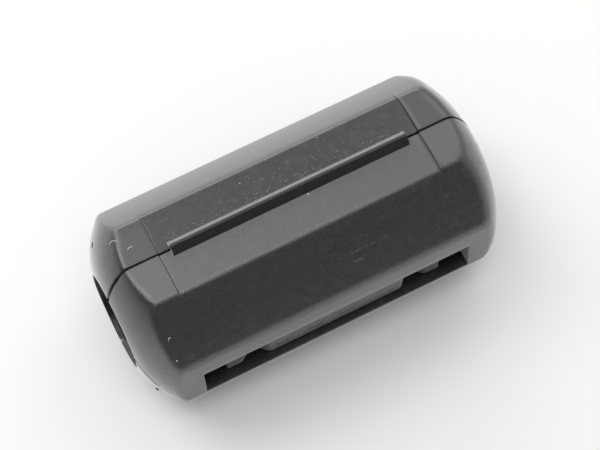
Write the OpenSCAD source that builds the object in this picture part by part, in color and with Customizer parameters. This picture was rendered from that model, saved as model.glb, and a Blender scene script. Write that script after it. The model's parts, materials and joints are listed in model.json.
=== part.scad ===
// Clip-on ferrite bead: a hinged two-half plastic case around a split ferrite sleeve.
// X runs along the cable, Z points up through the hinge facet, Y points to the rear half.
// The origin is on the cable axis, half-way along the case. All sizes are in millimetres.

/* [Case] */
// Length of the case, measured between the rims of the two cable holes
case_l = 36; // [32:0.5:42]
// Width of the octagonal case across its flats
case_w = 17.5; // [16.5:0.1:19]
// Width of the hinge facet, and of the facet the case stands on
top_w = 8.2; // [7:0.1:9]
// Height of each side facet
side_h = 7.2; // [6:0.1:8]
// Radius of the edges of the hinge facet and of the standing facet
top_edge_r = 0.8; // [0.3:0.1:1.6]
// Radius of the softer edges of the side facets
side_edge_r = 1.2; // [0.5:0.1:1.6]
// Radius of the domed ends, seen from the side
dome_r = 8.4; // [7.5:0.1:10]
// Distance from the cable axis to the centre of that radius
dome_offset = 3; // [2:0.1:4]
// Diameter of the cable hole
bore_d = 9; // [7:0.1:9.2]
// Thickness of the end walls at the cable hole
end_wall = 2.8; // [2:0.1:3.5]
// Thickness of the side walls, from a facet to the core pocket
wall = 1.85; // [1.7:0.05:2.2]

/* [Parting line] */
// Gap between the halves along the middle of the case
gap_mid = 0.1; // [0.06:0.02:0.3]
// Gap between the halves across the domed ends
gap_end = 0.3; // [0.1:0.02:0.5]
// Distance from the middle of the case to each seam line across the hinge facet
seam_x = 12.7; // [12:0.1:13.5]
// Depth of the step at the seam lines
seam_step = 0.1; // [0.04:0.02:0.2]
// Width of the prying notch under the cable hole
notch_w = 1.6; // [1:0.1:2.5]
// Depth of the prying notch below the cable hole
notch_d = 2.2; // [1:0.1:2.3]
// Width of the relief slit beside the cable hole
slit_w = 0.2; // [0.1:0.05:0.4]
// Length of the relief slit, from the cable hole outwards
slit_l = 3.35; // [2:0.05:4]
// Angle at which the slit leaves the cable hole, from straight down towards the front
slit_from = 104; // [80:1:120]
// Angle at which the slit runs outwards, from straight down towards the front
slit_lean = 54; // [45:1:75]

/* [Hinge] */
// Length of the living hinge
hinge_l = 23; // [16:0.5:24]
// Width of the folded hinge
hinge_w = 1.45; // [1.2:0.05:2]
// Height of the folded hinge above its facet
hinge_h = 0.65; // [0.5:0.05:1]
// Thickness of the hinge film
film_t = 0.3; // [0.2:0.02:0.4]
// Width of the flat fold line along the top of the hinge
fold_w = 0.24; // [0.1:0.02:0.4]
// Bow of the hinge's rear flank
hinge_bow = 0.14; // [0.04:0.01:0.16]

/* [Window] */
// Length of the window in each side facet
win_l = 26.4; // [22:0.1:27]
// Height of the window's upper edge above the cable axis
win_top = 0.9; // [0.5:0.1:1.5]
// Depth of the window's lower edge below the cable axis
win_low = 2.85; // [2:0.05:3.2]
// Length of the flat web across the middle of the window
web_l = 12.8; // [10:0.1:13]
// Depth of the web below the facet
web_d = 0.64; // [0.4:0.02:0.9]
// Length of each bend of a spring arm, down from the web and up to its tip
bend_l = 1.3; // [1:0.1:1.4]
// Depth of the thinned part of each spring arm below the facet
arm_d = 1.55; // [1.3:0.05:1.6]
// Depth of the thick tip of each spring arm below the facet
tip_d = 0.9; // [0.7:0.05:1.2]
// Length of the thick tip
tip_l = 1.2; // [0.8:0.1:1.5]
// Distance from the tip to the end of the window
tip_gap = 2.5; // [2:0.1:2.8]
// Gap above and below each spring arm
arm_gap = 0.25; // [0.1:0.05:0.4]

/* [Ferrite] */
// Amount by which the radius of the sleeve's hole exceeds that of the cable hole
bore_step = 0.3; // [0.1:0.05:0.6]
// Gap between each end of the sleeve and the end wall
core_end_gap = 0.2; // [0.1:0.05:0.5]
// Gap between the ground faces of the two half sleeves
core_split = 0.06; // [0.02:0.02:0.2]
// Gap between the sleeve and its pocket
core_gap = 0.15; // [0.08:0.01:0.25]
// Height and depth of the rabbet along each edge of a half sleeve
rabbet = 0.8; // [0.5:0.1:1]
// Chamfer round each end of the sleeve, inside and outside
core_chamfer = 0.35; // [0.1:0.05:0.45]
// Length of the lips that hold the half sleeve by its rabbets
lip_l = 8; // [5:0.5:9]
// Depth by which the lips are rooted in the case
lip_root = 0.4; // [0.2:0.1:0.8]

/* [Latch] */
// Distance from the middle of the case to each latch tongue
tongue_x = 8; // [7.5:0.1:9]
// Width of each latch tongue
tongue_w = 5; // [3:0.1:5.5]
// Thickness of each latch tongue
tongue_t = 0.8; // [0.6:0.05:0.85]
// Gap between each latch tongue and the core pocket
tongue_gap = 0.1; // [0.05:0.05:0.15]
// Depth by which each latch tongue is rooted in the front half
tongue_root = 1.6; // [1:0.1:2]
// Reach of each latch tongue past the parting line
tongue_reach = 2.8; // [2.4:0.1:3]
// Height of the hook on each latch tongue
hook_h = 0.65; // [0.4:0.05:0.7]
// Length of the slot that takes the hook
hook_slot = 1.45; // [1.3:0.05:1.6]
// Width of the flat end of the hook
hook_flat = 0.4; // [0.2:0.05:0.6]
// Height of the blunt nose above the hook's lead-in slope
hook_nose = 0.6; // [0.3:0.05:0.6]
// Play between the latch and its slot
latch_play = 0.15; // [0.1:0.01:0.2]

/* [Hidden] */
$fn = 96;
cut = 0.5;
far = 60;
arc_steps = 4;
flank_steps = 6;
nylon = [0.09, 0.09, 0.10];
ferrite = [0.20, 0.20, 0.21];
case_r = case_w / 2;
bore_r = bore_d / 2;
// Centre of the dome's arc, so that the rims of the cable hole stand case_l apart
dome_x = case_l / 2 - sqrt(pow(dome_r, 2) - pow(bore_r - dome_offset, 2));
pocket_r = case_r - wall;
pocket_l = case_l - 2 * end_wall;
core_r = pocket_r - core_gap;
core_bore_r = bore_r + bore_step;
core_l = pocket_l - 2 * core_end_gap;
// The chamfers leave at least half the sleeve's wall flat
core_bevel = min(core_chamfer, (core_r - core_bore_r) / 4);
lowered_top = case_r - seam_step;
win_h = win_top + win_low;
web_end = web_l / 2;
tip_end = win_l / 2 - tip_gap;
tip_start = tip_end - tip_l;
// The tongue lies just outside the core pocket, inside the lower wall
tongue_top = -pocket_r - tongue_gap;
tongue_low = tongue_top - tongue_t;
slot_end = tongue_reach + latch_play;
slot_front = slot_end - hook_slot;

// Corners of the octagonal section, counted from the right of the hinge facet
function section_corners() = [
    [top_w / 2, case_r], [-top_w / 2, case_r], [-case_r, side_h / 2], [-case_r, -side_h / 2],
    [-top_w / 2, -case_r], [top_w / 2, -case_r], [case_r, -side_h / 2], [case_r, side_h / 2]];

// Edge radius at the corner p: the side corners are the ones on the side facets
function corner_r(p) = abs(p[1]) < case_r ? side_edge_r : top_edge_r;

function unit(v) = v / norm(v);

// Points of the arc of radius r that rounds the corner p between its neighbours a and b
function corner_arc(a, p, b, r) =
    let (u = unit(a - p), v = unit(b - p))
    let (half = acos(u * v) / 2, turn = 180 - 2 * half)
    let (c = p + unit(u + v) * r / sin(half))
    let (from = p + u * r / tan(half) - c, to = p + v * r / tan(half) - c)
    [for (k = [0 : arc_steps])
        let (f = k / arc_steps)
        c + (from * sin((1 - f) * turn) + to * sin(f * turn)) / sin(turn)];

// Section with each corner rounded by its own radius
function rounded(p) =
    let (n = len(p))
    [for (i = [0 : n - 1])
        each corner_arc(p[(i + n - 1) % n], p[i], p[(i + 1) % n], corner_r(p[i]))];

// Turns a section drawn in (Y, Z) into a bar along X, centred on the origin
module bar_x(length) {
    translate([-length / 2, 0, 0]) rotate([90, 0, 90]) linear_extrude(length) children();
}

module rod_x(r, length) {
    translate([-length / 2, 0, 0]) rotate([0, 90, 0]) cylinder(r = r, h = length);
}

// A box given by its lower and upper corners
module box(low, high) {
    translate(low) cube(high - low);
}

// Solid of revolution that gives the case its domed ends
module dome_limit() {
    rotate([0, 90, 0]) rotate_extrude() intersection() {
        translate([0, -far / 2]) square([far, far]);
        union() {
            for (end = [-1, 1]) translate([dome_offset, end * dome_x]) circle(r = dome_r);
            translate([0, -dome_x - cut]) square([dome_offset + dome_r - cut, 2 * (dome_x + cut)]);
        }
    }
}

module case_solid() {
    intersection() {
        bar_x(case_l + 2 * cut) polygon(rounded(section_corners()));
        dome_limit();
    }
}

// Smooth step from 0 to 1, level at both ends
function ease(t) = (1 - cos(180 * min(max(t, 0), 1))) / 2;

// Depth of a spring arm below the facet at distance x from the middle of the window
function arm_depth(x) =
    web_d + (arm_d - web_d) * ease((x - web_end) / bend_l)
    - (arm_d - tip_d) * ease((x - tip_start + bend_l) / bend_l);

// Window web with its two spring arms, drawn for the half at +Y, still solid to the cable hole
module window_spring() {
    steps = 28;
    arm_xs = [for (k = [0 : steps]) web_end + (tip_end - web_end) * k / steps];
    box([-web_end, bore_r, -win_low - cut], [web_end, case_r - web_d, win_top + cut]);
    for (side = [0, 1]) mirror([side, 0, 0])
        translate([0, 0, -win_low + arm_gap]) linear_extrude(win_h - 2 * arm_gap)
            polygon([[tip_end, bore_r], [web_end - cut, bore_r], [web_end - cut, case_r - web_d],
                each [for (x = arm_xs) [x, case_r - arm_depth(x)]]]);
}

// One half of the case, drawn at +Y, with its window, core pocket and cable hole
module half_shell() {
    difference() {
        union() {
            difference() {
                case_solid();
                box([-win_l / 2, 0, -win_low], [win_l / 2, far, win_top]);
            }
            window_spring();
        }
        box([-far, -far, -far], [far, gap_mid / 2, far]);
        for (end = [0, 1]) mirror([end, 0, 0]) box([seam_x, -cut, -far], [far, gap_end / 2, far]);
        box([-seam_x, -far, lowered_top], [seam_x, far, far]);
        rod_x(pocket_r, pocket_l);
        rod_x(bore_r, far);
    }
    core_lips();
}

// Lips above and below the parting edge that hold a half sleeve in its pocket
module core_lips() {
    for (side = [0, 1]) mirror([0, 0, side])
        box([-lip_l / 2, gap_mid / 2, core_r - rabbet + core_gap],
            [lip_l / 2, rabbet - core_gap, pocket_r + lip_root]);
}

// Channel and hook slot that take one latch tongue, in the half at +Y
module latch_slot() {
    half_w = tongue_w / 2 + latch_play;
    box([-half_w, -cut, tongue_low - latch_play], [half_w, slot_end, -core_r]);
    box([-half_w, slot_front, -far], [half_w, slot_end, tongue_low]);
}

module rear_shell() {
    color(nylon) difference() {
        half_shell();
        for (side = [-1, 1]) translate([side * tongue_x, 0, 0]) latch_slot();
        for (end = [0, 1]) mirror([end, 0, 0])
            box([pocket_l / 2 - cut, -cut, -bore_r - notch_d], [far, notch_w, -bore_r + cut]);
    }
}

module front_shell() {
    color(nylon) difference() {
        mirror([0, 1, 0]) half_shell();
        for (side = [-1, 1])
            box([side * tongue_x - tongue_w / 2, -tongue_root, tongue_low],
                [side * tongue_x + tongue_w / 2, cut, -core_r]);
        for (end = [0, 1]) mirror([end, 0, 0]) relief_slit();
    }
}

// Slit in the end wall beside the cable hole, which lets the part of the wall below it give
module relief_slit() {
    rotate([-slit_from, 0, 0]) translate([0, 0, -bore_r]) rotate([slit_from - slit_lean, 0, 0])
        box([pocket_l / 2 - cut, -slit_w / 2, -slit_l], [far, slit_w / 2, cut]);
}

// Points from a to b along a shallow bow that stands off their line by rise at the middle
function bowed(a, b, rise) =
    let (off = unit([a[1] - b[1], b[0] - a[0]]))
    [for (k = [0 : flank_steps])
        let (f = k / flank_steps)
        a + (b - a) * f + off * rise * 4 * f * (1 - f)];

// Film folded over the parting line: each flank stands on the facet of one half, and the rear one is bowed
module living_hinge() {
    slope = hinge_h / (hinge_w / 2 - fold_w / 2);
    foot = film_t * sqrt(1 + pow(slope, 2)) / slope;
    inner_h = hinge_h - film_t;
    inner_bow = hinge_bow * inner_h / hinge_h;
    color(nylon) translate([0, 0, lowered_top]) bar_x(hinge_l)
        polygon([[-hinge_w / 2, 0], [-fold_w / 2, hinge_h],
            each bowed([fold_w / 2, hinge_h], [hinge_w / 2, 0], hinge_bow),
            each bowed([hinge_w / 2 - foot, 0], [0, inner_h], -inner_bow),
            [-hinge_w / 2 + foot, 0]]);
}

// Ring section of the ferrite sleeve, chamfered at both ends, turned about the cable axis
module sleeve() {
    end_x = core_l / 2;
    flat_x = end_x - core_bevel;
    rotate([0, 90, 0]) rotate_extrude()
        polygon([[core_bore_r, -flat_x], [core_bore_r + core_bevel, -end_x],
            [core_r - core_bevel, -end_x], [core_r, -flat_x], [core_r, flat_x],
            [core_r - core_bevel, end_x], [core_bore_r + core_bevel, end_x], [core_bore_r, flat_x]]);
}

// One half of the ferrite sleeve, drawn at +Y
module half_core() {
    color(ferrite) difference() {
        sleeve();
        box([-far, -far, -far], [far, core_split / 2, far]);
        for (side = [0, 1]) mirror([0, 0, side])
            box([-far, -cut, core_r - rabbet], [far, rabbet, far]);
    }
}

module rear_core() {
    half_core();
}

module front_core() {
    mirror([0, 1, 0]) half_core();
}

// Tongue rooted in the lower wall of the front half, with a hook that drops into the rear half
module latch_tongue() {
    hook_y = slot_front + latch_play;
    color(nylon) bar_x(tongue_w)
        polygon([[-tongue_root, tongue_top], [tongue_reach, tongue_top],
            [tongue_reach, tongue_top - hook_nose], [hook_y + hook_flat, tongue_low - hook_h],
            [hook_y, tongue_low - hook_h], [hook_y, tongue_low],
            [-tongue_root, tongue_low]]);
}

module latch_tongue_left() {
    translate([-tongue_x, 0, 0]) latch_tongue();
}

module latch_tongue_right() {
    translate([tongue_x, 0, 0]) latch_tongue();
}

rear_shell();
front_shell();
living_hinge();
rear_core();
front_core();
latch_tongue_left();
latch_tongue_right();
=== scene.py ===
"""Looks of a clip-on ferrite bead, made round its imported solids.

Lengths are in millimetres in the part's own frame: +X along the cable, +Y towards the rear half and +Z up
through the hinge facet. Meshes are scaled to metres as they are made.
"""
import json
import math

import bpy
import numpy as np
from mathutils import Matrix, Vector


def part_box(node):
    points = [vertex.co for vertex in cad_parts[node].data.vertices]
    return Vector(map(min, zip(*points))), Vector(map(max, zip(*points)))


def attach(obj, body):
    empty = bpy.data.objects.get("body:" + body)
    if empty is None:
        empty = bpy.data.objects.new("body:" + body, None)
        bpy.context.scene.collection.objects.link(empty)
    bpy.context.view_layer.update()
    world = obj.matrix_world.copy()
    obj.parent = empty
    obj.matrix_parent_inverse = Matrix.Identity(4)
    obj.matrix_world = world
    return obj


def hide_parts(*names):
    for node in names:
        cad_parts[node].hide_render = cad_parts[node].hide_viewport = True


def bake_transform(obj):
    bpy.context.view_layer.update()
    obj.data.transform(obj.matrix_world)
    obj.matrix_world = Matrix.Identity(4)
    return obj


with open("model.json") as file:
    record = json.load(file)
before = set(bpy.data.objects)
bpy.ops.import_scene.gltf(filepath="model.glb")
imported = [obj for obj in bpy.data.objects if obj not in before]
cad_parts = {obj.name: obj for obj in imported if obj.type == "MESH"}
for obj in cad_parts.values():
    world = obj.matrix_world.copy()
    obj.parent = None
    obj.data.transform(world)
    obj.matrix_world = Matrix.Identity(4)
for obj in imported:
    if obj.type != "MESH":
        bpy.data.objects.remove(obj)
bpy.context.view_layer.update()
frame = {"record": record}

MM = 0.001


def node_box(name):
    """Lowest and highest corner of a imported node, in millimetres."""
    low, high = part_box(name)
    return np.array(low) / MM, np.array(high) / MM


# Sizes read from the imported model
SHELL_LOW, SHELL_HIGH = node_box("front_shell")
CORE_LOW, CORE_HIGH = node_box("front_core")
HINGE_LOW, HINGE_HIGH = node_box("living_hinge")
TONGUE_LOW, TONGUE_HIGH = node_box("latch_tongue_right")
END_X = SHELL_HIGH[0]
CASE_R = SHELL_HIGH[2]
FLOOR_Z = SHELL_LOW[2]
BORE_R = frame["record"]["mounts"][0]["dims"]["r_mm"]
CORE_R = -CORE_LOW[1]
CORE_END = CORE_HIGH[0]
CORE_FACE = -CORE_HIGH[1]
HINGE_END = HINGE_HIGH[0]
HINGE_W = HINGE_HIGH[1] - HINGE_LOW[1]
HINGE_H = HINGE_HIGH[2] - HINGE_LOW[2]
LOWERED_TOP = HINGE_LOW[2]
TONGUE_W = TONGUE_HIGH[0] - TONGUE_LOW[0]
TONGUE_X = (TONGUE_HIGH[0] + TONGUE_LOW[0]) / 2

# Octagonal section and domed ends
TOP_W = 8.2
SIDE_H = 7.2
DOME_R = 8.4
DOME_OFFSET = 3.0
DOME_X = END_X - math.sqrt(DOME_R ** 2 - (BORE_R - DOME_OFFSET) ** 2)
TOP_BLEND = 0.34
CROWN = 0.007
TOP_CROWN = 0.0012
SIDE_BLEND = 0.42
CREASE_BLENDS = (0.3, 0.6)
CORE_GAP = 0.15
POCKET_R = CORE_R + CORE_GAP
WALL_IN = 15.2
LEAST_COS = 0.02
LEAST_TURN = 0.1
HAIR = 1e-6

# Parting line: half the gap, read along the case from its middle to its end
GAP_STATIONS = [0.0, 12.6, 12.8, 15.3, 16.6, 18.0]
HALF_GAP_LEFT = [0.05, 0.05, 0.055, 0.075, 0.17, 0.18]
HALF_GAP_RIGHT = [0.05, 0.05, 0.06, 0.065, 0.06, 0.07]
GAP_JOG, JOG_RUN = 0.035, 0.1
GAP_EDGE_R = 0.07
GAP_REACH = math.radians(15)
SEAM_X = 12.7
SEAM_STEP = 0.1
SEAM_RUN = 0.035
SEAM_GROOVE = 0.08
SEAM_GROOVE_W = 0.045
BURR_X, BURR_W, BURR_H = 0.1, 0.07, 0.075
RIM_R = 0.18

# Window with its web and spring arms
WIN_END = 13.2
WIN_TOP = 0.9
WIN_LOW = -2.85
WIN_EDGE_R = 0.1
WALL_FOOT = 0.015
WEB_END = 6.4
WEB_D = 0.64
BEND_L = 1.3
ARM_D = 1.55
TIP_D = 0.9
TIP_START = 9.5
TIP_END = 10.7
ARM_GAP = 0.25
ARM_EDGE_R = 0.1

# Shares of a rounded edge's radius at which grid lines are drawn
EDGE = np.array([0, 0.07, 0.2, 0.38, 0.62, 1.0])
# Grid lines along the case: beside a seam, over the crease between bar and dome, and their counts
SEAM_LEAD = 0.4
SEAM_LINES = np.array([-0.2, -0.15, -0.11, -0.08, -0.05, -0.025, 0, 0.02, 0.035, 0.06, 0.1, 0.18])
CREASE_FROM, CREASE_TO = 14.3, 16.5
BEND_COUNT, CREASE_COUNT, DOME_COUNT = 9, 26, 18
STATION_STEP = 1.2
# Grid lines round the section: beside the parting edges, the top corners and the side corners
PARTING_LINES = np.array([0.2, 0.5])
CRISP_LINES = np.array([0, 0.04, 0.09, 0.15, 0.22, 0.3, 0.42])
SOFT_LINES = np.array([0, 0.1, 0.2, 0.32, 0.45, 0.6, 0.85])
ROW_STEP = 0.9


def ease(t):
    """Half a cosine wave from 0 to 1, level at both ends."""
    return (1 - np.cos(np.pi * np.clip(t, 0, 1))) / 2


def soft_min(a, b, width):
    """The lesser of a and b, with a parabola joining them where they differ by less than width."""
    share = np.clip(0.5 + 0.5 * (b - a) / width, 0, 1)
    return b * (1 - share) + a * share - width * share * (1 - share)


def edge_drop(distance, radius):
    """Fall of a quarter-round edge: radius at the edge itself, none from one radius inwards."""
    inwards = np.clip(radius - distance, 0, radius)
    return radius - np.sqrt(radius ** 2 - inwards ** 2)


def fill(features, step):
    """Feature lines in order, with even lines between any two that lie further apart than step."""
    marks = np.unique(np.round(np.concatenate(features), 5))
    counts = np.maximum(np.ceil(np.diff(marks) / step).astype(int), 1)
    spans = zip(marks[:-1], marks[1:], counts)
    return np.concatenate([np.linspace(a, b, n, endpoint=False) for a, b, n in spans] + [marks[-1:]])


def make_object(name, vertices, *faces):
    """A mesh object from points in millimetres and arrays of faces, each array with one count of corners."""
    mesh = bpy.data.meshes.new(name)
    corners = sum((group.tolist() for group in faces), [])
    mesh.from_pydata((np.asarray(vertices) * MM).tolist(), [], corners)
    piece = bpy.data.objects.new(name, mesh)
    bpy.context.scene.collection.objects.link(piece)
    return piece


def apply_modifiers(piece):
    """Replaces a piece's mesh by what its modifiers make of it."""
    graph = bpy.context.evaluated_depsgraph_get()
    made = bpy.data.meshes.new_from_object(piece.evaluated_get(graph))
    made.name = piece.name
    piece.modifiers.clear()
    piece.data = made


def combine(piece, tool, operation):
    """Cuts the tool's solid out of the piece, or joins it on, and removes the tool."""
    step = piece.modifiers.new(operation, "BOOLEAN")
    step.operation = operation
    step.solver = "MANIFOLD"
    step.object = tool
    apply_modifiers(piece)
    bpy.data.objects.remove(tool)


def shade(piece, material, sharp_deg=38):
    """One material, with smooth shading up to an angle between faces."""
    piece.data.materials.clear()
    piece.data.materials.append(material)
    piece.data.shade_smooth()
    piece.data.set_sharp_from_angle(angle=math.radians(sharp_deg))


def dome_radius(x):
    """Radius of the domed ends at a station x: offset + sqrt(R^2 - (|x| - centre)^2)."""
    past = np.clip(np.abs(x) - DOME_X, 0, DOME_R)
    return DOME_OFFSET + np.sqrt(DOME_R ** 2 - past ** 2)


def dome_station(radius):
    """Station along +X at which the domed end has a radius: the inverse of dome_radius."""
    return DOME_X + np.sqrt(DOME_R ** 2 - (radius - DOME_OFFSET) ** 2)


def shell_stations():
    """Stations along the cable, close together at each edge, seam, bend and crease."""
    arm_from, arm_to = WEB_END, TIP_START - BEND_L
    features = [
        [0.0, WEB_END, SEAM_X - SEAM_LEAD],
        np.linspace(arm_from, arm_from + BEND_L, BEND_COUNT),
        np.linspace(arm_to, arm_to + BEND_L, BEND_COUNT),
        TIP_END - EDGE * ARM_EDGE_R,
        SEAM_X + SEAM_LINES,
        WIN_END + EDGE * WIN_EDGE_R,
        np.linspace(CREASE_FROM, CREASE_TO, CREASE_COUNT),
        dome_station(np.linspace(dome_radius(CREASE_TO), BORE_R + RIM_R, DOME_COUNT)),
        dome_station(BORE_R + EDGE * RIM_R)]
    right = fill(features, STATION_STEP)
    return np.concatenate([-right[::-1], right[1:]])


def section_rows():
    """Angles from +Z round half the section, from the top parting edge to the bottom one.

    Rows are spaced by distance along the sharp octagon, close together at each corner and window edge."""
    corners = np.array([[0, CASE_R], [TOP_W / 2, CASE_R], [CASE_R, SIDE_H / 2],
                        [CASE_R, -SIDE_H / 2], [TOP_W / 2, -CASE_R], [0, -CASE_R]])
    along = np.concatenate([[0], np.cumsum(np.hypot(*np.diff(corners, axis=0).T))])
    heights = np.concatenate([
        WIN_TOP + EDGE * WIN_EDGE_R, [WIN_TOP - WALL_FOOT], WIN_TOP - ARM_GAP - EDGE * ARM_EDGE_R,
        WIN_LOW - EDGE * WIN_EDGE_R, [WIN_LOW + WALL_FOOT], WIN_LOW + ARM_GAP + EDGE * ARM_EDGE_R])
    features = [
        EDGE * GAP_EDGE_R, along[-1] - EDGE * GAP_EDGE_R, PARTING_LINES, along[-1] - PARTING_LINES[:1],
        along[1] + CRISP_LINES, along[1] - CRISP_LINES, along[4] + CRISP_LINES, along[4] - CRISP_LINES,
        along[2] + SOFT_LINES, along[2] - SOFT_LINES, along[3] + SOFT_LINES, along[3] - SOFT_LINES,
        along[2] + SIDE_H / 2 - heights]
    rows = fill(features, ROW_STEP)
    return np.arctan2(np.interp(rows, along, corners[:, 0]), np.interp(rows, along, corners[:, 1]))


def facet_radius(x, angle):
    """Radius of the octagonal bar: the blended least of the facets' d / cos(angle - facet angle).

    The hinge facet is lowered by a step between its two seams, with a hair of a groove along each seam
    and a burr along the right one. The top facet and the chamfers are crowned by a shallow parabola."""
    inside = 1 - ease((np.abs(x) - SEAM_X + SEAM_RUN) / SEAM_RUN)
    groove = SEAM_GROOVE * np.exp(-(((np.abs(x) - SEAM_X + 2 * SEAM_RUN) / SEAM_GROOVE_W) ** 2))
    burr = BURR_H * np.exp(-(((x - SEAM_X - BURR_X) / BURR_W) ** 2))
    top = CASE_R - SEAM_STEP * inside - groove + burr
    run, rise = CASE_R - TOP_W / 2, CASE_R - SIDE_H / 2
    lean = math.atan2(rise, run)
    chamfer = (rise * TOP_W / 2 + run * CASE_R) / math.hypot(run, rise)
    planes = [(top, 0.0, TOP_CROWN, None), (chamfer, lean, CROWN, TOP_BLEND),
              (CASE_R, np.pi / 2, 0, SIDE_BLEND), (chamfer, np.pi - lean, CROWN, SIDE_BLEND),
              (CASE_R, np.pi, 0, TOP_BLEND)]
    radius = None
    for distance, facing, crown, blend in planes:
        slant = np.maximum(np.cos(angle - facing), LEAST_COS)
        sag = crown * np.minimum(np.abs(distance * np.tan(angle - facing)), TOP_W) ** 2
        reach = (distance - sag) / slant
        radius = reach if radius is None else soft_min(radius, reach, blend)
    return radius


def arm_depth(x):
    """Depth of the web and spring arms below the side facet: two eased bends, down and up to the tip."""
    down = ease((np.abs(x) - WEB_END) / BEND_L)
    up = ease((np.abs(x) - TIP_START + BEND_L) / BEND_L)
    return WEB_D + (ARM_D - WEB_D) * down - (ARM_D - TIP_D) * up


def window_depth(x, z):
    """Depth of the side facet's window at (x, z): a rounded frame edge outside it, web and arms inside."""
    past_end = np.abs(x) - WIN_END
    past_side = np.maximum(z - WIN_TOP, WIN_LOW - z)
    inside = (past_end < -HAIR) & (past_side < -HAIR)
    frame_edge = edge_drop(np.hypot(np.maximum(past_end, 0), np.maximum(past_side, 0)), WIN_EDGE_R)
    to_side = np.minimum(WIN_TOP - ARM_GAP - z, z - WIN_LOW - ARM_GAP)
    to_edge = np.maximum(np.minimum(to_side, TIP_END - np.abs(x)), 0)
    arm = arm_depth(x) + edge_drop(to_edge, ARM_EDGE_R)
    spring = np.where(np.abs(x) <= WEB_END, WEB_D, arm)
    return np.where(inside, spring, frame_edge)


def towards_edges(angle, opening):
    """Angles pressed together near both parting edges, so that the first and last stand off by opening."""
    top = np.clip(1 - angle / GAP_REACH, 0, 1)
    bottom = np.clip(1 - (np.pi - angle) / GAP_REACH, 0, 1)
    return angle + opening * (top - bottom)


def shell_skins(side):
    """Outer and inner skin of one half, as arrays of (x, distance from the parting plane, z).

    Both skins share one grid of stations and rows. The outer radius is the blended least of facet_radius
    and dome_radius, less the quarter-round of the parting edges; the window is pressed in across the side
    facet. The inner skin follows the core pocket, the end wall and the cable hole, and meets the outer
    skin at the rim of the hole."""
    stations = shell_stations()
    rows = section_rows()
    x, row = stations[:, None], rows[None, :]
    gap = np.where(stations < 0, np.interp(-stations, GAP_STATIONS, HALF_GAP_LEFT),
                   np.interp(stations, GAP_STATIONS, HALF_GAP_RIGHT))
    gap = gap + side * GAP_JOG * ease((np.abs(stations) - SEAM_X + JOG_RUN / 2) / JOG_RUN)
    crease = np.where(stations < 0, *CREASE_BLENDS)
    at_top = soft_min(facet_radius(stations, 0.0), dome_radius(stations), crease)
    angle = towards_edges(row, np.arcsin(gap / at_top)[:, None])
    radius = soft_min(facet_radius(x, angle), dome_radius(x), crease[:, None])
    radius = radius - edge_drop(radius * np.sin(angle) - gap[:, None], GAP_EDGE_R)
    away, z = radius * np.sin(angle), radius * np.cos(angle)
    on_side = np.abs(row - np.pi / 2) < math.atan2(SIDE_H / 2, CASE_R)
    away = away - np.where(on_side, window_depth(x, z), 0)
    rim_fall = edge_drop(dome_radius(stations) - BORE_R, RIM_R)
    outer_x = np.broadcast_to((stations - np.sign(stations) * rim_fall)[:, None], away.shape)

    deep = np.abs(outer_x[:, 0])
    run = np.concatenate([[0], np.cumsum(np.hypot(np.diff(deep), np.diff(dome_radius(stations))))])
    rim_x = deep.max()
    turn = [0, WALL_IN - WIN_END, WALL_IN - WIN_END + POCKET_R - BORE_R]
    path = np.array(turn + [turn[2] + rim_x - WALL_IN])
    right_from = np.interp(WIN_END, stations, run)
    share = np.clip((np.abs(run - run[-1] / 2) - right_from + run[-1] / 2) / (run[-1] - right_from), 0, 1)
    travel = share * path[-1]
    for corner in path[1:3]:
        for half in (stations < 0, stations > 0):
            nearest = np.flatnonzero(half)[np.argmin(np.abs(travel[half] - corner))]
            travel[nearest] = corner
    inner_x = np.where(np.abs(stations) <= WIN_END, np.abs(stations),
                       np.interp(travel, path, [WIN_END, WALL_IN, WALL_IN, rim_x])) * np.sign(stations)
    inner_r = np.interp(travel, path, [POCKET_R, POCKET_R, BORE_R, BORE_R])
    side_z = CASE_R / np.tan(np.clip(rows, LEAST_TURN, np.pi - LEAST_TURN))
    in_window = (side_z <= WIN_TOP + HAIR) & (side_z >= WIN_LOW - HAIR)
    window_rows = np.arccos(np.clip(side_z / POCKET_R, -1, 1))
    first, last = np.flatnonzero(in_window)[[0, -1]]
    knots = [0, rows[first], rows[last], np.pi]
    pocket_rows = np.interp(rows, knots, [0, window_rows[first], window_rows[last], np.pi])
    pocket_rows = np.where(in_window, window_rows, pocket_rows)
    inner_angle = towards_edges(pocket_rows[None, :], np.arcsin(gap / inner_r)[:, None])
    to_bore = ease((POCKET_R - inner_r) / (POCKET_R - BORE_R))[:, None]
    rim_angle = np.where(stations[:, None] < 0, angle[:1], angle[-1:])
    inner_angle = inner_angle * (1 - to_bore) + rim_angle * to_bore
    inner = np.stack([np.broadcast_to(inner_x[:, None], away.shape),
                      inner_r[:, None] * np.sin(inner_angle), inner_r[:, None] * np.cos(inner_angle)], -1)
    outer = np.stack([outer_x, away, z], -1)

    mid_x = np.abs(stations[1:] + stations[:-1])[:, None] / 2
    mid_z = (side_z[1:] + side_z[:-1])[None, :] / 2
    hole = (mid_x < WIN_END) & (mid_z < WIN_TOP) & (mid_z > WIN_LOW)
    beside = (mid_z > WIN_TOP - ARM_GAP) | (mid_z < WIN_LOW + ARM_GAP)
    hole &= (mid_x > TIP_END) | ((mid_x > WEB_END) & beside)
    return outer, inner, ~hole


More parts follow.
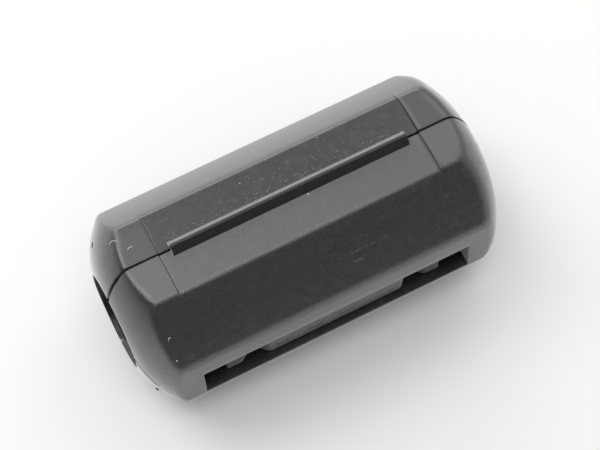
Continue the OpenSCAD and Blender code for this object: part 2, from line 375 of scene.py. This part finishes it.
def grid_solid(outer, inner, kept):
    """Faces of a sheet between two grids: both skins over the kept cells, with a wall round every hole and
    along the first and last row. The first and last station of the outer grid are shared by both skins."""
    nx, nr = outer.shape[:2]
    index = np.arange(nx * nr).reshape(nx, nr)
    under = index + (nx - 1) * nr
    under[0], under[-1] = index[0], index[-1]
    i, j = np.nonzero(kept)
    faces = [np.stack([index[i, j], index[i + 1, j], index[i + 1, j + 1], index[i, j + 1]], 1),
             np.stack([under[i, j], under[i, j + 1], under[i + 1, j + 1], under[i + 1, j]], 1)]
    ringed = np.pad(kept, ((0, 0), (1, 1)))
    for before, turn in ((True, 1), (False, -1)):
        i, j = np.nonzero((ringed[:, :-1] == before) & (ringed[:, 1:] != before))
        wall = np.stack([index[i, j], index[i + 1, j], under[i + 1, j], under[i, j]], 1)
        faces.append(wall[:, ::turn])
        i, j = np.nonzero((kept[:-1] == before) & (kept[1:] != before))
        wall = np.stack([index[i + 1, j + 1], index[i + 1, j], under[i + 1, j], under[i + 1, j + 1]], 1)
        faces.append(wall[:, ::turn])
    quads = np.concatenate(faces)
    first, last = quads[:, 0] == quads[:, 3], quads[:, 1] == quads[:, 2]
    corners = np.concatenate([quads[first][:, :3], quads[last][:, [0, 1, 3]]])
    vertices = np.concatenate([outer.reshape(-1, 3), inner[1:-1].reshape(-1, 3)])
    return vertices, quads[~first & ~last], corners


def brick(low, high):
    """Corners and outward faces of a box."""
    low, high = np.array(low, float), np.array(high, float)
    corner = np.array([[a, b, c] for a in (0, 1) for b in (0, 1) for c in (0, 1)])
    faces = [[0, 1, 3, 2], [4, 6, 7, 5], [0, 4, 5, 1], [2, 3, 7, 6], [0, 2, 6, 4], [1, 5, 7, 3]]
    return low + corner * (high - low), np.array(faces)


def ball(centre, radius, cells=8):
    """A ball: each side of a cube as a grid at even angles, its points pulled to unit length, then stretched
    by the radius. Edges shared by two sides are made one."""
    across = np.tan(np.linspace(-np.pi / 4, np.pi / 4, cells + 1))
    u, v = (g.ravel() for g in np.meshgrid(across, across, indexing="ij"))
    points = np.concatenate([np.roll(np.stack([w, a, b], 1), turn, 1) for turn in range(3)
                             for w, a, b in ((np.ones_like(u), u, v), (-np.ones_like(u), v, u))])
    index = np.arange(len(u)).reshape(cells + 1, cells + 1)
    cell = np.stack([index[:-1, :-1], index[1:, :-1], index[1:, 1:], index[:-1, 1:]], -1).reshape(-1, 4)
    quads = np.concatenate([cell + side * len(u) for side in range(6)])
    unit, shared = np.unique(np.round(points / np.linalg.norm(points, axis=1)[:, None], 6), axis=0,
                             return_inverse=True)
    return centre + unit * radius, shared.ravel()[quads]


def gather(name, solids):
    """One object from several separate solids, each given as its points and arrays of faces."""
    starts = np.cumsum([0] + [len(points) for points, *_ in solids])
    faces = [group + start for start, (_, *groups) in zip(starts, solids) for group in groups]
    return make_object(name, np.concatenate([points for points, *_ in solids]), *faces)


def loft(rings):
    """A closed bar through rings of points, each listed anticlockwise seen from +X, in order along X."""
    count, n = len(rings), len(rings[0])
    ring = np.arange(count * n).reshape(count, n)
    ahead = np.roll(ring, -1, 1)
    sides = np.stack([ring[:-1], ahead[:-1], ahead[1:], ring[1:]], -1).reshape(-1, 4)
    return np.concatenate(rings), sides, ring[:1, ::-1], ring[-1:]


def prism(profile, low, high):
    """A closed profile in (y, z), listed anticlockwise seen from +X, carried along X from low to high."""
    return loft([np.column_stack([np.full(len(profile), x), profile]) for x in (low, high)])


def arc(radius, start, end, count):
    """Points of a circle about the cable axis in (y, z), by angle from +Z in degrees."""
    angle = np.radians(np.linspace(start, end, count))
    return np.stack([radius * np.sin(angle), radius * np.cos(angle)], 1)


BEVEL_SEGMENTS, BEVEL_DEG = 2, 35


def soften(piece, width):
    """Rounds the sharp edges of a finished piece by a small bevel."""
    bevel = piece.modifiers.new("edges", "BEVEL")
    bevel.width = width * MM
    bevel.segments = BEVEL_SEGMENTS
    bevel.limit_method = "ANGLE"
    bevel.angle_limit = math.radians(BEVEL_DEG)
    apply_modifiers(piece)


def srgb(code):
    """An sRGB hex colour as linear red, green, blue and alpha."""
    parts = [int(code[k:k + 2], 16) / 255 for k in (1, 3, 5)]
    return (*[p / 12.92 if p <= 0.04045 else ((p + 0.055) / 1.055) ** 2.4 for p in parts], 1.0)


def add(tree, kind, inputs=None, **settings):
    """Adds a node: settings are its properties, inputs give a socket a value or another node's output."""
    made = tree.nodes.new(kind)
    for name, value in settings.items():
        setattr(made, name, value)
    for socket, value in (inputs or {}).items():
        if isinstance(value, bpy.types.NodeSocket):
            tree.links.new(value, made.inputs[socket])
        else:
            made.inputs[socket].default_value = value
    return made


def new_material(name):
    """An empty node material with its output."""
    material = bpy.data.materials.new(name)
    material.use_nodes = True
    tree = material.node_tree
    tree.nodes.clear()
    return material, tree, tree.nodes.new("ShaderNodeOutputMaterial")


def per_mm(size):
    """Texture scale at which a pattern's cells are size millimetres across."""
    return 1 / (size * MM)


# Nylon: cells and levels of the mottle, cells, levels and depth of the mould's grain, spread of roughness
MOTTLE_SIZE, MOTTLE_LEVELS = 0.7, (0.46, 0.66)
PIT_SIZE, PIT_LEVELS, PIT_DEPTH = 0.22, (0.3, 0.7), 0.04
SKIN_SPREAD = 0.03
FILM_ROUGHNESS = 0.31
# Ferrite: cells of grain and cloud, strength and depth of the grain's relief
FERRITE_GRAIN, FERRITE_CLOUD = 0.12, 3.0
FERRITE_RELIEF, FERRITE_DEPTH = 0.35, 0.03
DUST_CLOUD = 1.0
# Length over which the grey of the case beyond its seams comes in
END_FADE, END_DROP = 0.15, 0.4
# Painted shade on the window's sill and along the parting line: where it ends, and the gloss left in it
SILL_FADE = 0.1
PARTING_FADE = (0.08, 0.17)
SHADED_GLOSS, FULL_GLOSS = 0.33, 0.5


def ramp(tree, value, low, high):
    """A socket that climbs from 0 to 1 as a value in metres goes from low to high millimetres."""
    climb = add(tree, "ShaderNodeMapRange", {"Value": value, "From Min": low * MM, "From Max": high * MM})
    return climb.outputs["Result"]


def math_node(tree, operation, *values):
    """The result of a Math node on sockets or numbers."""
    return add(tree, "ShaderNodeMath", dict(enumerate(values)), operation=operation).outputs["Value"]


def blend_colour(tree, factor, first, second):
    """The colour between two others by a factor, each a socket or a value."""
    mix = add(tree, "ShaderNodeMix", {"Factor": factor, "A": first, "B": second}, data_type="RGBA")
    return mix.outputs["Result"]


def moulded_nylon(name, roughness, grain, ior, film, dark, light, end_grey):
    """Black nylon 6, injection moulded: near black and mottled in the body, satin skin from the mould,
    greyer on top beyond the seams, with a film of handling dust that pales what is looked along.
    Shade is painted inside the parting line and on the window's sill: there the dust film is taken off
    and the gloss turned down."""
    material, tree, output = new_material(name)
    place = add(tree, "ShaderNodeTexCoord").outputs["Object"]
    axes = add(tree, "ShaderNodeSeparateXYZ", {"Vector": place}).outputs
    along, across = (math_node(tree, "ABSOLUTE", axes[letter]) for letter in "XY")
    cloud = add(tree, "ShaderNodeTexNoise", {"Vector": place, "Scale": per_mm(MOTTLE_SIZE), "Detail": 8.0,
                                             "Roughness": 0.8})
    mottle = add(tree, "ShaderNodeMapRange", {"Value": cloud.outputs["Fac"], "From Min": MOTTLE_LEVELS[0],
                                              "From Max": MOTTLE_LEVELS[1]})
    body = blend_colour(tree, mottle.outputs["Result"], srgb(dark), srgb(light))
    on_end = math_node(tree, "MULTIPLY", ramp(tree, along, SEAM_X, SEAM_X + END_FADE),
                       ramp(tree, axes["Z"], CASE_R - END_DROP, CASE_R))
    coat = blend_colour(tree, on_end, body, srgb(end_grey))
    # Painted shade: on the window's sill and along the parting line the dust film is taken off and the gloss
    # turned down, where shade falls
    height = math_node(tree, "ABSOLUTE", math_node(tree, "SUBTRACT", axes["Z"], WIN_LOW * MM))
    off_sill = math_node(tree, "MAXIMUM", ramp(tree, along, WIN_END, WIN_END + SILL_FADE),
                         math_node(tree, "MAXIMUM", ramp(tree, across, CASE_R - SILL_FADE, CASE_R),
                                   ramp(tree, height, ARM_GAP, ARM_GAP + SILL_FADE)))
    outside_painted_shade = math_node(tree, "MULTIPLY", off_sill, ramp(tree, across, *PARTING_FADE))
    pits = add(tree, "ShaderNodeTexNoise", {"Vector": place, "Scale": per_mm(PIT_SIZE), "Detail": 3.0})
    skin = add(tree, "ShaderNodeMapRange", {
        "Value": pits.outputs["Fac"], "From Min": PIT_LEVELS[0], "From Max": PIT_LEVELS[1],
        "To Min": roughness - SKIN_SPREAD, "To Max": roughness + SKIN_SPREAD})
    relief = add(tree, "ShaderNodeBump", {"Height": pits.outputs["Fac"], "Strength": grain,
                                          "Distance": PIT_DEPTH * MM})
    gloss = math_node(tree, "MULTIPLY", math_node(tree, "MAXIMUM", outside_painted_shade, SHADED_GLOSS), FULL_GLOSS)
    shader = add(tree, "ShaderNodeBsdfPrincipled", {
        "Base Color": coat, "Roughness": skin.outputs["Result"], "Normal": relief.outputs["Normal"],
        "IOR": ior, "Specular IOR Level": gloss, "Sheen Roughness": FILM_ROUGHNESS,
        "Sheen Weight": math_node(tree, "MULTIPLY", outside_painted_shade, film)})
    tree.links.new(shader.outputs["BSDF"], output.inputs["Surface"])
    return material


def pale_dust():
    """House dust and lint: dull off-white, each grain a little lighter or darker."""
    material, tree, output = new_material("dust")
    place = add(tree, "ShaderNodeTexCoord").outputs["Object"]
    cloud = add(tree, "ShaderNodeTexNoise", {"Vector": place, "Scale": per_mm(DUST_CLOUD)})
    colour = blend_colour(tree, cloud.outputs["Fac"], srgb("#b4b2ae"), srgb("#f0eeea"))
    shader = add(tree, "ShaderNodeBsdfPrincipled", {"Base Color": colour, "Roughness": 0.9})
    tree.links.new(shader.outputs["BSDF"], output.inputs["Surface"])
    return material


def ground_ferrite():
    """Sintered and ground ferrite: dark blue-grey and dull, with a fine grain and soft clouds."""
    material, tree, output = new_material("sintered ferrite")
    place = add(tree, "ShaderNodeTexCoord").outputs["Object"]
    grain = add(tree, "ShaderNodeTexNoise", {"Vector": place, "Scale": per_mm(FERRITE_GRAIN), "Detail": 3.0})
    cloud = add(tree, "ShaderNodeTexNoise", {"Vector": place, "Scale": per_mm(FERRITE_CLOUD), "Detail": 4.0})
    mixed = math_node(tree, "MULTIPLY", grain.outputs["Fac"], cloud.outputs["Fac"])
    colour = blend_colour(tree, mixed, srgb("#191a1d"), srgb("#3c3e42"))
    relief = add(tree, "ShaderNodeBump", {"Height": grain.outputs["Fac"], "Strength": FERRITE_RELIEF,
                                          "Distance": FERRITE_DEPTH * MM})
    shader = add(tree, "ShaderNodeBsdfPrincipled", {
        "Base Color": colour, "Roughness": 0.6, "IOR": 1.5, "Normal": relief.outputs["Normal"]})
    tree.links.new(shader.outputs["BSDF"], output.inputs["Surface"])
    return material


# Lips that hold a half sleeve by its rabbets
LIP_X = 4.0
LIP_Y = (0.06, 0.65)
LIP_Z = (6.1, 7.3)

# Cuts in the shells: prying notch, latch slots, tongue roots and relief slits
CUT = 0.5
NOTCH_W, NOTCH_D, NOTCH_RIM = 1.6, 1.4, 0.5
TONGUE_ROOT, TONGUE_REACH = -TONGUE_LOW[1], TONGUE_HIGH[1]
TONGUE_TOP, TONGUE_T = TONGUE_HIGH[2], 0.8
TONGUE_UNDER = TONGUE_TOP - TONGUE_T
PLAY = 0.15
SLOT_L = 1.45
SLOT_END = TONGUE_REACH + PLAY
SLOT_FRONT = SLOT_END - SLOT_L
SLIT_W, SLIT_L = 0.24, 3.35
SLIT_FROM, SLIT_LEAN = math.radians(104), math.radians(54)

# Ejector marks on the front web, by (x, z), a gate mark on the rear half and a nub of flash on the front one
EJECTOR_R, EJECTOR_D, EJECTOR_SIDES = 0.95, 0.03, 48
EJECTORS = [(-5.2, -1.0), (-2.0, -1.0), (1.1, -1.0)]
GATE, GATE_R, GATE_OFF = np.array([-17.0, 5.53, 4.64]), 0.4, 0.6
GATE_OUT = np.array([-0.865, 0.385, 0.323])
NUB, NUB_R, NUB_CELLS = np.array([-17.05, -6.42, -2.95]), 0.2, 4


def half_shell(side, name, node, body, cuts, joined):
    """One half of the case: the grid solid with lips and small solids joined on, and its cuts taken out."""
    vertices, *faces = grid_solid(*shell_skins(side))
    piece = make_object(name, vertices * [1, side, 1], *[group[:, ::side] for group in faces])
    near, far = sorted(side * y for y in LIP_Y)
    lips = [brick([-LIP_X, near, low], [LIP_X, far, high]) for low, high in (LIP_Z, (-LIP_Z[1], -LIP_Z[0]))]
    for solid in lips + joined:
        combine(piece, gather("join", [solid]), "UNION")
    for solid in cuts:
        combine(piece, gather("cut", [solid]), "DIFFERENCE")
    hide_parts(node)
    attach(piece, body)
    return piece


def end_wall_span(end):
    """Stations between which a cut passes through one end wall."""
    return sorted([end * (WALL_IN - CUT), end * (END_X + CUT)])


def rear_cuts():
    """Prying notch below each cable hole, and a channel with a hook slot for each latch tongue."""
    cuts = []
    for end in (-1, 1):
        low, high = sorted([end * (WALL_IN - CUT), end * (END_X - NOTCH_RIM)])
        cuts.append(brick([low, -CUT, -BORE_R - NOTCH_D], [high, NOTCH_W, -BORE_R + CUT]))
        half = TONGUE_W / 2 + PLAY
        low, high = end * TONGUE_X - half, end * TONGUE_X + half
        cuts.append(brick([low, -CUT, TONGUE_UNDER - PLAY], [high, SLOT_END, -CORE_R]))
        cuts.append(brick([low, SLOT_FRONT, FLOOR_Z - CUT], [high, SLOT_END, TONGUE_UNDER]))
    return cuts


def relief_slit(end):
    """A thin box that leaves the cable hole at one angle from straight down and runs outwards at another."""
    low, high = end_wall_span(end)
    points, faces = brick([low, -SLIT_W / 2, -SLIT_L], [high, SLIT_W / 2, CUT])
    lean = np.array(Matrix.Rotation(SLIT_FROM - SLIT_LEAN, 3, "X"))
    swing = np.array(Matrix.Rotation(-SLIT_FROM, 3, "X"))
    return (points @ lean.T + [0, 0, -BORE_R]) @ swing.T, faces


def ejector_disc(x, z):
    """A shallow round mark pressed into the front window's web: a short cylinder across its face."""
    turn = np.linspace(0, 2 * np.pi, EJECTOR_SIDES + 1)[:-1]
    face_y = -CASE_R + WEB_D
    circle = np.column_stack([x + EJECTOR_R * np.cos(turn), 0 * turn, z - EJECTOR_R * np.sin(turn)])
    return loft([circle + [0, face_y - CUT, 0], circle + [0, face_y + EJECTOR_D, 0]])


SATIN = moulded_nylon("black nylon, smooth mould", roughness=0.34, grain=0, ior=1.83, film=1.0,
                      dark="#080808", light="#2b2a2c", end_grey="#373637")
MATTE = moulded_nylon("black nylon, etched mould", roughness=0.46, grain=0.6, ior=2.2, film=0.9,
                      dark="#020101", light="#251e1f", end_grey="#151213")
# The painted shade along the parting line also darkens this film's crest
FOLDED = moulded_nylon("black nylon, paled by folding", roughness=0.36, grain=0.04, ior=2.5, film=0.9,
                       dark="#09090a", light="#19191a", end_grey="#09090a")
FERRITE = ground_ferrite()

rear = half_shell(1, "rear_half_shell", "rear_shell", "rear_half",
                  rear_cuts() + [ball(GATE + GATE_OUT * GATE_R * GATE_OFF, GATE_R)], [])
roots = [brick([end * TONGUE_X - TONGUE_W / 2, -TONGUE_ROOT, TONGUE_UNDER],
               [end * TONGUE_X + TONGUE_W / 2, CUT, -CORE_R]) for end in (-1, 1)]
slits = [relief_slit(end) for end in (-1, 1)]
discs = [ejector_disc(*place) for place in EJECTORS]
front = half_shell(-1, "front_half_shell", "front_shell", "front_half", roots + slits + discs,
                   [ball(NUB, NUB_R, NUB_CELLS)])
shade(rear, SATIN)
shade(front, MATTE)

# Half sleeves of ferrite
BORE_STEP = 0.3
CORE_BORE_R = BORE_R + BORE_STEP
RABBET = 0.8
CORE_CHAMFER = 0.35
CORE_CHIP = 0.08
OUTER_COUNT, INNER_COUNT = 72, 60


def sleeve_profile():
    """Half ring in (y, z) with a rabbet along each outer edge, for the rear half, anticlockwise."""
    step = math.degrees(math.asin(RABBET / CORE_R))
    slant = math.degrees(math.asin(CORE_FACE / CORE_BORE_R))
    shelf = CORE_R - RABBET
    return np.concatenate([
        arc(CORE_R, 180 - step, step, OUTER_COUNT), [[RABBET, shelf], [CORE_FACE, shelf]],
        arc(CORE_BORE_R, slant, 180 - slant, INNER_COUNT), [[CORE_FACE, -shelf], [RABBET, -shelf]]])


def sleeve_rings():
    """The sleeve's profile at four stations, with its radii drawn in by the chamfer at both ends."""
    profile = sleeve_profile()
    radius = np.hypot(*profile.T)[:, None]
    end = profile * np.clip(radius, CORE_BORE_R + CORE_CHAMFER, CORE_R - CORE_CHAMFER) / radius
    flat_x = CORE_END - CORE_CHAMFER
    stations = [(-CORE_END, end), (-flat_x, profile), (flat_x, profile), (CORE_END, end)]
    return [np.column_stack([np.full(len(ring), x), ring]) for x, ring in stations]


for side, node, body in ((1, "rear_core", "rear_half"), (-1, "front_core", "front_half")):
    rings = [(ring * [1, side, 1])[::side] for ring in sleeve_rings()]
    sleeve = make_object(f"{node}_sleeve", *loft(rings))
    soften(sleeve, CORE_CHIP)
    shade(sleeve, FERRITE)
    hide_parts(node)
    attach(sleeve, body)

# Latch tongues
HOOK_BACK, HOOK_FLAT, HOOK_NOSE = SLOT_FRONT + PLAY, 0.4, 0.6
TONGUE_EDGE = 0.07


def tongue_profile():
    """Flat tongue in (y, z) with a hook below its end and a sloped lead-in, anticlockwise."""
    hook_low = TONGUE_LOW[2]
    return np.array([[-TONGUE_ROOT, TONGUE_UNDER], [HOOK_BACK, TONGUE_UNDER], [HOOK_BACK, hook_low],
                     [HOOK_BACK + HOOK_FLAT, hook_low], [TONGUE_REACH, TONGUE_TOP - HOOK_NOSE],
                     [TONGUE_REACH, TONGUE_TOP], [-TONGUE_ROOT, TONGUE_TOP]])


for end, node in ((-1, "latch_tongue_left"), (1, "latch_tongue_right")):
    middle = end * TONGUE_X
    tongue = make_object(f"{node}_hook",
                         *prism(tongue_profile(), middle - TONGUE_W / 2, middle + TONGUE_W / 2))
    soften(tongue, TONGUE_EDGE)
    shade(tongue, MATTE)
    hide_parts(node)
    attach(tongue, "front_half")

# Living hinge
FILM_T = 0.3
FOLD_W = 0.24
HINGE_BOW = 0.14
CREASE_Y, CREASE_W, CREASE_D = 0.2, 0.035, 0.03
REAR_COUNT, FRONT_COUNT = 40, 7
HOLLOW_REAR_COUNT, HOLLOW_FRONT_COUNT = 8, 4
HINGE_SHARP_DEG = 30


def bowed(start, end, rise, count):
    """Points from start to end in (y, height), standing off their line by a parabola that peaks at rise."""
    f = np.linspace(0, 1, count)[:, None]
    off = np.array([start[1] - end[1], end[0] - start[0]])
    return start + (end - start) * f + off / np.linalg.norm(off) * rise * 4 * f * (1 - f)


def hinge_profile():
    """Film folded over the parting line in (y, z), anticlockwise: a bowed rear flank, a narrow flat fold
    with a fine crease beside it, a straight front flank, and a hollow below that keeps the film's
    thickness."""
    half, fold, inner_h = HINGE_W / 2, FOLD_W / 2, HINGE_H - FILM_T
    slope = HINGE_H / (half - fold)
    foot = FILM_T * math.sqrt(1 + slope ** 2) / slope
    inner_bow = -HINGE_BOW * inner_h / HINGE_H
    top, inner_top = np.array([fold, HINGE_H]), np.array([0, inner_h])
    rear_flank = bowed(top, np.array([half, 0]), HINGE_BOW, REAR_COUNT)[::-1]
    front_flank = bowed(top * [-1, 1], np.array([-half, 0]), 0, FRONT_COUNT)
    hollow_rear = bowed(np.array([half - foot, 0]), inner_top, inner_bow, HOLLOW_REAR_COUNT)
    hollow_front = bowed(inner_top, np.array([-half + foot, 0]), 0, HOLLOW_FRONT_COUNT)[1:]
    outer = np.concatenate([rear_flank, front_flank])
    crease = CREASE_D * np.exp(-(((outer[:, 0] - CREASE_Y) / CREASE_W) ** 2))
    outer[:, 1] -= np.minimum(crease, outer[:, 1])
    hollow = np.concatenate([hollow_rear, hollow_front])[::-1]
    return np.concatenate([outer, hollow]) + [0, LOWERED_TOP]


hinge = make_object("living_hinge_film", *prism(hinge_profile(), -HINGE_END, HINGE_END))
shade(hinge, FOLDED, HINGE_SHARP_DEG)
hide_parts("living_hinge")
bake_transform(hinge)

# Dust on both halves: middle of a patch, its half widths, the count of grains, and a grain's radii
DUST = pale_dust()
TOP_DUST_Z = LOWERED_TOP
REAR_PATCHES = [((0, 1.05, TOP_DUST_Z), (11.5, 0.3, 0), 90, (0.035, 0.02, 0.014)),
                ((0, 2.3, TOP_DUST_Z), (12, 1.3, 0), 70, (0.022, 0.018, 0.01)),
                ((2, 1.9, TOP_DUST_Z), (9, 0.9, 0), 50, (0.13, 0.007, 0.004)),
                ((-3.3, 2.93, TOP_DUST_Z), (0.13, 0.16, 0), 2, (0.06, 0.05, 0.04)),
                ((4.6, 3.75, TOP_DUST_Z), (0.02, 0.02, 0), 1, (0.09, 0.07, 0.05))]
FRONT_PATCHES = [((0, -1.5, TOP_DUST_Z), (11.5, 0.6, 0), 40, (0.025, 0.018, 0.01)),
                 ((1.4, -0.85, TOP_DUST_Z), (0.02, 0.02, 0), 2, (0.13, 0.11, 0.1)),
                 ((3.8, -6.55, 6.03), (2.5, 0.02, 0.02), 80, (0.05, 0.007, 0.007)),
                 ((2.9, -7.15, 5.38), (0.6, 0.08, 0.08), 26, (0.045, 0.01, 0.01)),
                 ((-15.06, -7.92, 4.52), (0.02, 0.02, 0.02), 1, (0.07, 0.06, 0.06)),
                 ((-17.09, -6.09, 3.56), (0.02, 0.02, 0.02), 1, (0.06, 0.06, 0.06))]
REAR_FIBRES = [((-15.95, 3.15, 8.1), (-15.6, 3.35, 8.6), (-15.25, 2.75, 8.79)),
               ((-14.8, 1.62, 8.76), (-14.55, 1.85, 8.82), (-14.28, 1.7, 8.78))]
FRONT_FIBRES = [((-15.1, -6.62, 6.05), (-14.95, -6.3, 6.4), (-14.8, -6.5, 6.25))]
FIBRE_R, FIBRE_STATIONS, FIBRE_SIDES = 0.028, 13, 6
GRAIN_LEAST, GRAIN_CELLS = 0.4, 2
chance = np.random.default_rng(7)


def grains(middle, spread, count, radii):
    """Ellipsoids strewn evenly over a box: scaled copies of one ball, from the least to full size."""
    unit, faces = ball(np.zeros(3), 1.0, GRAIN_CELLS)
    centres = np.array(middle) + chance.uniform(-1, 1, (count, 1, 3)) * spread
    points = centres + unit * np.array(radii) * chance.uniform(GRAIN_LEAST, 1.0, (count, 1, 1))
    shifts = np.arange(count)[:, None, None] * len(unit)
    return points.reshape(-1, 3), (faces + shifts).reshape(-1, 4)


def fibre(start, over, end):
    """A thin round thread along a parabola that starts and ends at two points and leans to a third."""
    f = np.linspace(0, 1, FIBRE_STATIONS)[:, None]
    path = (1 - f) ** 2 * np.array(start) + 2 * f * (1 - f) * np.array(over) + f ** 2 * np.array(end)
    turn = np.linspace(0, -2 * np.pi, FIBRE_SIDES + 1)[:-1]
    ring = FIBRE_R * np.column_stack([0 * turn, np.sin(turn), np.cos(turn)])
    return loft([point + ring for point in path])


for body, patches, fibres in (("rear_half", REAR_PATCHES, REAR_FIBRES),
                              ("front_half", FRONT_PATCHES, FRONT_FIBRES)):
    solids = [grains(*patch) for patch in patches] + [fibre(*path) for path in fibres]
    dust = gather(f"dust_on_{body}", solids)
    shade(dust, DUST)
    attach(dust, body)

# Camera at the photograph's view
CAMERA_AIM = Vector((0.916, 0.532, 0.407))
CAMERA_DISTANCE = 185.564
CAMERA_AZIMUTH, CAMERA_ELEVATION, CAMERA_ROLL = (math.radians(a) for a in (-22.023, 64.070, -5.467))
CAMERA_LENS = 122.64
CAMERA_CLIP = 10


def place_camera():
    """A camera whose back vector is given by azimuth and elevation, then rolled about its axis."""
    data = bpy.data.cameras.new("camera")
    data.lens = CAMERA_LENS
    data.clip_start = CAMERA_CLIP * MM
    camera = bpy.data.objects.new("camera", data)
    bpy.context.scene.collection.objects.link(camera)
    flat = math.cos(CAMERA_ELEVATION)
    back = Vector((math.sin(CAMERA_AZIMUTH) * flat, -math.cos(CAMERA_AZIMUTH) * flat,
                   math.sin(CAMERA_ELEVATION)))
    level = Vector((math.cos(CAMERA_AZIMUTH), math.sin(CAMERA_AZIMUTH), 0))
    right = level * math.cos(CAMERA_ROLL) + back.cross(level) * math.sin(CAMERA_ROLL)
    camera.matrix_world = Matrix((right, back.cross(right), back)).transposed().to_4x4()
    camera.matrix_world.translation = (CAMERA_AIM + back * CAMERA_DISTANCE) * MM
    bpy.context.scene.camera = camera


# Floor's half width, and the flag: a wall from one angle to another, turned from +Y through +X
FLOOR_HALF = 1500
FLAG_TURN = (140, 310)
FLAG_R, FLAG_H, FLAG_COUNT = 600, 800, 49
# Light: strength of the white sky, then each lamp's name, place, aim, size and power in watts
SKY = 0.54
LAMPS = [("left", (-155, 180, 357), (0, 0, 0), (240, 300), 0.6),
         ("right", (267, 150, 301), (0, 0, 0), (240, 300), 0.27),
         ("front", (-40, -115, 430), (0, -10, 0), (300, 220), 0.54),
         ("rear", (0, 520, 170), (0, 0, 0), (700, 260), 1.45)]


def soft_lamp(name, place, aim, size, power):
    """A rectangular soft box at a place in millimetres, turned to its aim."""
    data = bpy.data.lights.new(name, "AREA")
    data.shape = "RECTANGLE"
    data.size, data.size_y = size[0] * MM, size[1] * MM
    data.energy = power
    lamp = bpy.data.objects.new(name, data)
    bpy.context.scene.collection.objects.link(lamp)
    lamp.location = Vector(place) * MM
    lamp.rotation_euler = (Vector(aim) - Vector(place)).to_track_quat("-Z", "Y").to_euler()


def lay_floor():
    """A large flat sheet of white paper under the case."""
    corners = FLOOR_HALF * np.array([[-1, -1, 0], [1, -1, 0], [1, 1, 0], [-1, 1, 0]]) + [0, 0, FLOOR_Z]
    floor = make_object("floor", corners, np.array([[0, 1, 2, 3]]))
    material, tree, output = new_material("white paper")
    shader = add(tree, "ShaderNodeBsdfPrincipled", {"Base Color": srgb("#ebebeb"), "Roughness": 0.9,
                                                   "Specular IOR Level": 0.2})
    tree.links.new(shader.outputs["BSDF"], output.inputs["Surface"])
    floor.data.materials.append(material)


def hang_flag():
    """Dark cloth round the front and left, as a dim room beyond the table: part of a cylinder wall. It shows
    in gloss only, and takes no light from the floor."""
    turn = np.radians(np.linspace(*FLAG_TURN, FLAG_COUNT))
    foot = np.stack([FLAG_R * np.sin(turn), FLAG_R * np.cos(turn), np.full(FLAG_COUNT, FLOOR_Z)], 1)
    index = np.arange(FLAG_COUNT - 1)
    flag = make_object("flag", np.concatenate([foot, foot + [0, 0, FLAG_H]]),
                       np.stack([index, index + 1, index + FLAG_COUNT + 1, index + FLAG_COUNT], 1))
    material, tree, output = new_material("black cloth")
    shader = add(tree, "ShaderNodeBsdfDiffuse", {"Color": srgb("#1c1c1e")})
    tree.links.new(shader.outputs["BSDF"], output.inputs["Surface"])
    flag.data.materials.append(material)
    flag.visible_camera = False
    flag.visible_diffuse = False
    flag.visible_shadow = False


place_camera()
lay_floor()
hang_flag()
world = bpy.data.worlds.new("studio")
world.use_nodes = True
world.node_tree.nodes["Background"].inputs["Color"].default_value = srgb("#ffffff")
world.node_tree.nodes["Background"].inputs["Strength"].default_value = SKY
bpy.context.scene.world = world
for lamp in LAMPS:
    soft_lamp(*lamp)
bpy.context.scene.view_settings.view_transform = "Standard"
